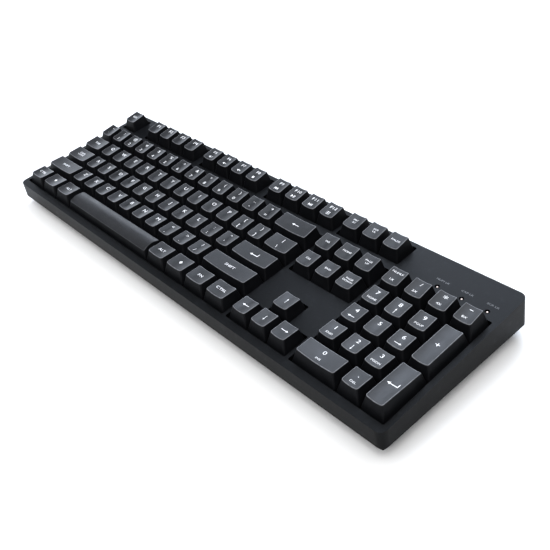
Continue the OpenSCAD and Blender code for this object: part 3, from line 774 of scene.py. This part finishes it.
BANKS = {
    "esc_key": keys_in_row(0, 5, [1], [word("ESC", 2.2)]),
    "f1_f4_keys": keys_in_row(2, 5, [1] * 4, [letter(t) for t in ("F1", "F2", "F3", "F4")]),
    "f5_f8_keys": keys_in_row(6.5, 5, [1] * 4, [
        media("F5", "@mute"), media("F6", "@quieter"), media("F7", "@louder"), media("F8", "@stop"),
    ]),
    "f9_f12_keys": keys_in_row(11, 5, [1] * 4, [
        media("F9", "@previous"), media("F10", "@play"), media("F11", "@next"), media("F12", "@menu"),
    ]),
    "system_keys": keys_in_row(15.25, 5, [1] * 3, [
        two_lines("PRT", "SC"), two_lines("SCR", "LK"), word("PAUSE", 1.5),
    ]),
    "number_keys_left": keys_in_row(0, 4, [1] * 6, [
        pair("`", "~"), pair("1", "!"), pair("2", "@"), pair("3", "#"), pair("4", "$"), pair("5", "%"),
    ]),
    "number_keys_right": keys_in_row(6, 4, [1] * 7, [
        pair("6", "^"), pair("7", "&"), pair("8", "*"), pair("9", "("), pair("0", ")"),
        pair("-", "_"), pair("=", "+"),
    ]),
    "backspace_key": keys_in_row(13, 4, [2], [word("@left", 2.7)]),
    "tab_key": keys_in_row(0, 3, [1.5], [word("TAB")]),
    "letter_keys_q_t": letters(1.5, 3, "QWERT"),
    "letter_keys_y_p": letters(6.5, 3, "YUIOP") + keys_in_row(11.5, 3, [1, 1], [
        pair("[", "{"), pair("]", "}"),
    ]),
    "backslash_key": keys_in_row(13.5, 3, [1.5], [pair("\\", "|")]),
    "caps_lock_key": keys_in_row(0, 2, [1.75], [two_lines("CAPS", "LOCK", 1.9)]),
    "letter_keys_a_g": letters(1.75, 2, "ASDFG"),
    "letter_keys_h_l": letters(6.75, 2, "HJKL") + keys_in_row(10.75, 2, [1, 1], [
        pair(";", ":"), pair("'", '"'),
    ]),
    "enter_key": keys_in_row(12.75, 2, [2.25], [word("@enter", 3.4)]),
    "left_shift_key": keys_in_row(0, 1, [2.25], [word("SHIFT")]),
    "letter_keys_z_b": letters(2.25, 1, "ZXCVB"),
    "letter_keys_n_m": letters(7.25, 1, "NM") + keys_in_row(9.25, 1, [1] * 3, [
        pair(",", "<"), pair(".", ">"), pair("/", "?"),
    ]),
    "right_shift_key": keys_in_row(12.25, 1, [2.75], [word("SHIFT")]),
    "left_ctrl_key": keys_in_row(0, 0, [1.25], [word("CTRL")]),
    "left_system_key": keys_in_row(1.25, 0, [1.25], [word("@system", 3.0)]),
    "left_alt_key": keys_in_row(2.5, 0, [1.25], [word("ALT")]),
    "space_bar": keys_in_row(3.75, 0, [6.25], [[]]),
    "right_alt_key": keys_in_row(10, 0, [1.25], [word("ALT")]),
    "right_system_key": keys_in_row(11.25, 0, [1.25], [word("@system", 3.0)]),
    "fn_key": keys_in_row(12.5, 0, [1.25], [word("FN")]),
    "right_ctrl_key": keys_in_row(13.75, 0, [1.25], [word("CTRL")]),
    "navigation_keys": keys_in_row(15.25, 4, [1] * 3, [
        word("INS", 1.5), word("HOME", 1.5), two_lines("PAGE", "UP"),
    ]) + keys_in_row(15.25, 3, [1] * 3, [
        word("DEL", 1.5), word("END", 1.5), two_lines("PAGE", "DOWN"),
    ]),
    "arrow_up_key": keys_in_row(16.25, 1, [1], [word("@up", 4.2)]),
    "arrow_left_key": keys_in_row(15.25, 0, [1], [word("@left", 2.5)]),
    "arrow_down_key": keys_in_row(16.25, 0, [1], [word("@down", 4.2)]),
    "arrow_right_key": keys_in_row(17.25, 0, [1], [word("@right", 2.5)]),
    "pad_operator_keys": keys_in_row(18.5, 4, [1] * 4, [
        pad_function("NUMLK", "1X", 1.5), pad_function("/", "2X"), pad_function("*", "4X", 4.4),
        pad_function("@minus", "8X"),
    ]),
    "pad_7_9_keys": keys_in_row(18.5, 3, [1] * 3, [
        pad("7", "HOME"), pad("8", "@up", 4.2), pad("9", "PGUP"),
    ]),
    "pad_4_6_keys": keys_in_row(18.5, 2, [1] * 3, [
        pad("4", "@left", 2.2), pad("5"), pad("6", "@right", 2.2),
    ]),
    "pad_1_3_keys": keys_in_row(18.5, 1, [1] * 3, [
        pad("1", "END"), pad("2", "@down", 4.2), pad("3", "PGDN"),
    ]),
    "pad_zero_key": keys_in_row(18.5, 0, [2], [pad("0", "INS")]),
    "pad_point_key": keys_in_row(20.5, 0, [1], [pad(".", "DEL")]),
    "pad_plus_key": [(Cap(21.5, 2, 1, 2), word("+", 3.8))],
    "pad_enter_key": [(Cap(21.5, 0, 1, 2), word("@enter", 3.4))],
}


def rectangle(left, low, right, high):
    return [(left, low), (right, low), (right, high), (left, high)]


UPRIGHT_ARROW_SCALE = 1 / 2.4


def arrow_shapes(angle, scale=1.0):
    """A thin arrow about the origin, pointing along the angle, in degrees."""
    turn = Matrix.Rotation(math.radians(angle), 2)
    shapes = [rectangle(-1.2, -0.09, 0.62, 0.09), [(0.5, -0.36), (1.25, 0.0), (0.5, 0.36)]]
    return [[tuple(scale * (turn @ Vector(p))) for p in shape] for shape in shapes]


def speaker_shapes():
    return [rectangle(-0.5, -0.2, -0.25, 0.2), [(-0.25, -0.2), (0.15, -0.5), (0.15, 0.5), (-0.25, 0.2)]]


def triangle(base, tip):
    corners = [(base, -0.5), (tip, 0.0), (base, 0.5)]
    return corners if tip > base else [corners[0], corners[2], corners[1]]


ICONS = {
    "@right": arrow_shapes(0),
    "@up": arrow_shapes(90, UPRIGHT_ARROW_SCALE),
    "@left": arrow_shapes(180),
    "@down": arrow_shapes(270, UPRIGHT_ARROW_SCALE),
    "@enter": [
        rectangle(-0.7, -0.31, 1.1, -0.14), rectangle(0.93, -0.14, 1.1, 0.5),
        [(-1.2, -0.23), (-0.6, -0.55), (-0.6, 0.1)],
    ],
    "@minus": [rectangle(-0.5, -0.09, 0.5, 0.09)],
    "@system": [[(0.0, -0.5), (0.5, 0.0), (0.0, 0.5), (-0.5, 0.0)]],
    "@mute": speaker_shapes() + [[(0.35, -0.3), (0.45, -0.4), (0.95, 0.3), (0.85, 0.4)]],
    "@quieter": speaker_shapes() + [rectangle(0.4, -0.08, 0.95, 0.08)],
    "@louder": speaker_shapes() + [
        rectangle(0.4, -0.08, 0.95, 0.08), rectangle(0.6, 0.08, 0.75, 0.3),
        rectangle(0.6, -0.3, 0.75, -0.08),
    ],
    "@stop": [rectangle(-0.4, -0.4, 0.4, 0.4)],
    "@play": [triangle(-0.7, 0.1), rectangle(0.25, -0.5, 0.42, 0.5), rectangle(0.6, -0.5, 0.77, 0.5)],
    "@previous": [rectangle(-0.8, -0.5, -0.62, 0.5), triangle(0.0, -0.6), triangle(0.65, 0.05)],
    "@next": [triangle(-0.65, -0.05), triangle(0.0, 0.6), rectangle(0.62, -0.5, 0.8, 0.5)],
    "@menu": [
        rectangle(-0.6, -0.5, 0.6, -0.34), rectangle(-0.6, -0.08, 0.6, 0.08),
        rectangle(-0.6, 0.34, 0.6, 0.5),
    ],
}

FONT_CAP_HEIGHT = 0.729
FONT_STRETCH = 1.35
LOOSE_SYMBOLS = ("*", "+", "-")
glyph_cache = {}


def flat_shape(text):
    """A flat, centred mesh of the text, with capitals one unit high, or of an icon about that size."""
    if text in glyph_cache:
        return glyph_cache[text]
    if text in ICONS:
        bm = bmesh.new()
        for shape in ICONS[text]:
            bm.faces.new([bm.verts.new((x, y, 0)) for x, y in shape])
        mesh = bpy.data.meshes.new("icon")
        bm.to_mesh(mesh)
        bm.free()
    else:
        curve = bpy.data.curves.new("legend", "FONT")
        curve.body = text
        curve.align_x = "CENTER"
        curve.resolution_u = 3
        writing = bpy.data.objects.new("legend", curve)
        bpy.context.scene.collection.objects.link(writing)
        graph = bpy.context.evaluated_depsgraph_get()
        mesh = bpy.data.meshes.new_from_object(writing.evaluated_get(graph))
        bpy.data.objects.remove(writing)
        bpy.data.curves.remove(curve)
        middle = FONT_CAP_HEIGHT / 2
        if text in LOOSE_SYMBOLS:
            heights = [v.co.y for v in mesh.vertices]
            middle = (max(heights) + min(heights)) / 2
        widened = Matrix.Diagonal((FONT_STRETCH / FONT_CAP_HEIGHT, 1 / FONT_CAP_HEIGHT, 1, 1))
        mesh.transform(widened @ Matrix.Translation((0, -middle, 0)))
    glyph_cache[text] = mesh
    return mesh


LEGEND_PROUD = 0.012
LEGEND_DEEP = 0.05
LEGEND_STRIP = 0.8


def add_inlay(bm, text, x, y, height, surface):
    """Text or an icon with thin sides, laid on surface(x, y) and cut into strips to follow its curve."""
    flat = bmesh.new()
    flat.from_mesh(flat_shape(text))
    flat.transform(Matrix.Translation((x, y, 0)) @ Matrix.Scale(height, 4))
    bmesh.ops.dissolve_limit(flat, angle_limit=0.01, verts=flat.verts, edges=flat.edges)
    left = min(v.co.x for v in flat.verts)
    right = max(v.co.x for v in flat.verts)
    for i in range(1, math.ceil((right - left) / LEGEND_STRIP)):
        bmesh.ops.bisect_plane(
            flat, geom=flat.verts[:] + flat.edges[:] + flat.faces[:],
            plane_co=(left + i * LEGEND_STRIP, 0, 0), plane_no=(1, 0, 0),
        )
    bmesh.ops.triangulate(flat, faces=flat.faces)
    places = [(v.co.x, v.co.y, surface(v.co.x, v.co.y)) for v in flat.verts]
    upper = ring_of(bm, [(px, py, z + LEGEND_PROUD) for px, py, z in places])
    lower = ring_of(bm, [(px, py, z - LEGEND_DEEP) for px, py, z in places])
    flat.verts.index_update()
    for face in flat.faces:
        corners = [v.index for v in face.verts]
        bm.faces.new([upper[i] for i in corners])
        bm.faces.new([lower[i] for i in reversed(corners)])
    for edge in flat.edges:
        if edge.is_boundary:
            a, b = (v.index for v in edge.verts)
            bm.faces.new((upper[a], upper[b], lower[b], lower[a]))
    flat.free()


def add_legend(bm, cap, marks):
    for text, x, y, height in marks:
        add_inlay(
            bm, text, cap.x + x, cap.y + CAP_LEAN + y, height,
            lambda px, py: CAP_REST + cap.top(px - cap.x, py - cap.y),
        )


def make_keys():
    for node, keys in BANKS.items():
        caps, sliders, legends = bmesh.new(), bmesh.new(), bmesh.new()
        for cap, marks in keys:
            add_cap(caps, cap)
            add_slider(sliders, cap)
            add_legend(legends, cap, marks)
        capped = object_from(caps, f"{node}_caps", SHADED_CAP_SKIRT, LIT_CAP_FACE)
        even_shading(capped)
        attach(capped, node)
        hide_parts(node)
        stems = object_from(sliders, f"{node}_sliders", SLIDER, smooth=False)
        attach(stems, node)
        if legends.verts:
            inlays = object_from(legends, f"{node}_legends", LEGEND, smooth=False)
            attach(inlays, node)
        else:
            legends.free()


make_keys()

# ---------- labels beside the indicator lights ----------

LIGHT_XS = (383.2, 402.3, 421.4)
LIGHT_Y = 101.7
LABEL_BEHIND = 6.1
LABEL_HEIGHT = 1.5


def make_light_labels():
    bm = bmesh.new()
    for x, text in zip(LIGHT_XS, ("NUM LK", "CAP LK", "SCR LK")):
        add_inlay(bm, text, x, LIGHT_Y + LABEL_BEHIND, LABEL_HEIGHT, lambda px, py: RIM_OVER_PLATE)
    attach(object_from(bm, "light_labels", LABEL, smooth=False), CASE)


make_light_labels()

# ---------- carried-over CAD nodes ----------


FLAT_ANGLE = math.radians(0.6)
SHARP_ANGLE = math.radians(38)


def dress(node, material, bevel=0.0, segments=2):
    """Gives a CAD node its material, and softens its edges without changing its own mesh."""
    obj = NODES[node]
    obj.data.materials.clear()
    obj.data.materials.append(material)
    if bevel:
        flat = obj.modifiers.new("merge_flats", "DECIMATE")
        flat.decimate_type = "DISSOLVE"
        flat.angle_limit = FLAT_ANGLE
        edge = obj.modifiers.new("soft_edges", "BEVEL")
        edge.width = bevel
        edge.segments = segments
        edge.limit_method = "ANGLE"
        edge.angle_limit = SHARP_ANGLE
        edge.use_clamp_overlap = True
        for polygon in obj.data.polygons:
            polygon.use_smooth = True
        even_shading(obj)


dress("top_case", CASE_TOP, 0.0006, 3)
dress("bottom_case", CASE_BASE, 0.0004)
dress("tilt_foot_left", CASE_BASE, 0.0003)
dress("tilt_foot_right", CASE_BASE, 0.0003)
dress("tilt_pad_left", RUBBER, 0.0003)
dress("tilt_pad_right", RUBBER, 0.0003)
dress("rubber_feet", RUBBER, 0.0005)
dress("switch_plate", PLATE)
dress("circuit_board", BOARD)
dress("switch_bases", SWITCH)
dress("switch_covers", SWITCH)
dress("stabilizer_housings", SWITCH)
dress("stabilizer_wires", SPRING)
dress("switch_springs", SPRING)
dress("controller_chip", CHIP)
dress("usb_socket", SOCKET, 0.00015)
dress("indicator_lights", LENS)
dress("case_screws", SCREW, 0.00015)
dress("plate_screws", SCREW)

# ---------- floor and light ----------

FLOOR_HALF = 6.0


def make_floor():
    bm = bmesh.new()
    corners = rectangle(-FLOOR_HALF, -FLOOR_HALF, FLOOR_HALF, FLOOR_HALF)
    bm.faces.new([bm.verts.new((x, y, 0)) for x, y in corners])
    object_from(bm, "floor", studio_floor(), matrix=Matrix.Identity(4), smooth=False)


def soft_light(name, place, aim, size, power, colour=(1, 1, 1)):
    data = bpy.data.lights.new(name, "AREA")
    data.shape = "RECTANGLE"
    data.size, data.size_y = size
    data.energy = power
    data.color = colour
    lamp = bpy.data.objects.new(name, data)
    bpy.context.scene.collection.objects.link(lamp)
    lamp.location = place
    lamp.rotation_euler = (Vector(aim) - Vector(place)).to_track_quat("-Z", "Y").to_euler()


def make_lights():
    world = bpy.data.worlds.new("world")
    bpy.context.scene.world = world
    world.use_nodes = True
    background = world.node_tree.nodes["Background"]
    background.inputs["Color"].default_value = (0.95, 0.97, 1.0, 1)
    background.inputs["Strength"].default_value = 0.08
    middle = (0.0, 0.0, 0.02)
    soft_light("rear_softbox", (-0.35, 0.78, 0.85), middle, (0.9, 0.9), 14.5, (0.79, 0.87, 1.0))
    soft_light("low_backdrop", (-2.4, 1.0, 0.5), (0.0, 0.0, 0.4), (4.0, 1.0), 51, (0.84, 0.90, 1.0))
    soft_light("top_softbox", (0.3, -0.5, 1.6), middle, (3.4, 3.4), 60)
    bpy.context.scene.view_settings.view_transform = "Standard"
    bpy.context.scene.view_settings.look = "Medium High Contrast"


make_floor()
make_lights()
